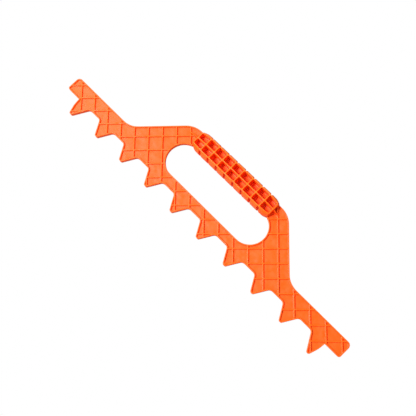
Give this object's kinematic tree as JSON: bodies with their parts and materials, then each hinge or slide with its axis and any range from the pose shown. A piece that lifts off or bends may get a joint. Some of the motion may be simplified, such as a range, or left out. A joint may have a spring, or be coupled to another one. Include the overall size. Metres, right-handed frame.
{
  "type": "beehive frame spacing tool",
  "caption": "Flat plastic comb that spaces hive frames: pointed teeth under a straight bar, an end lug at each end and a waffle-cored hand grip over a hand hole.",
  "frame": {"origin": "centre of the tool's bounding box, on the mid-plane between its two like faces", "axes": "+X along the comb bar, +Y from the teeth towards the hand grip, +Z out of the front face"},
  "size_m": [0.41, 0.09, 0.024],
  "materials": {
    "orange_plastic": "satin injection-moulded orange plastic, slightly translucent at thin edges"
  },
  "bodies": {
    "root": {"comb_bar": "orange_plastic", "left_lug": "orange_plastic", "right_lug": "orange_plastic", "tooth_01": "orange_plastic", "tooth_02": "orange_plastic", "tooth_03": "orange_plastic", "tooth_04": "orange_plastic", "tooth_05": "orange_plastic", "tooth_06": "orange_plastic", "tooth_07": "orange_plastic", "tooth_08": "orange_plastic", "tooth_09": "orange_plastic", "tooth_10": "orange_plastic", "left_arm": "orange_plastic", "right_arm": "orange_plastic", "hand_grip": "orange_plastic"}
  },
  "joints": []
}
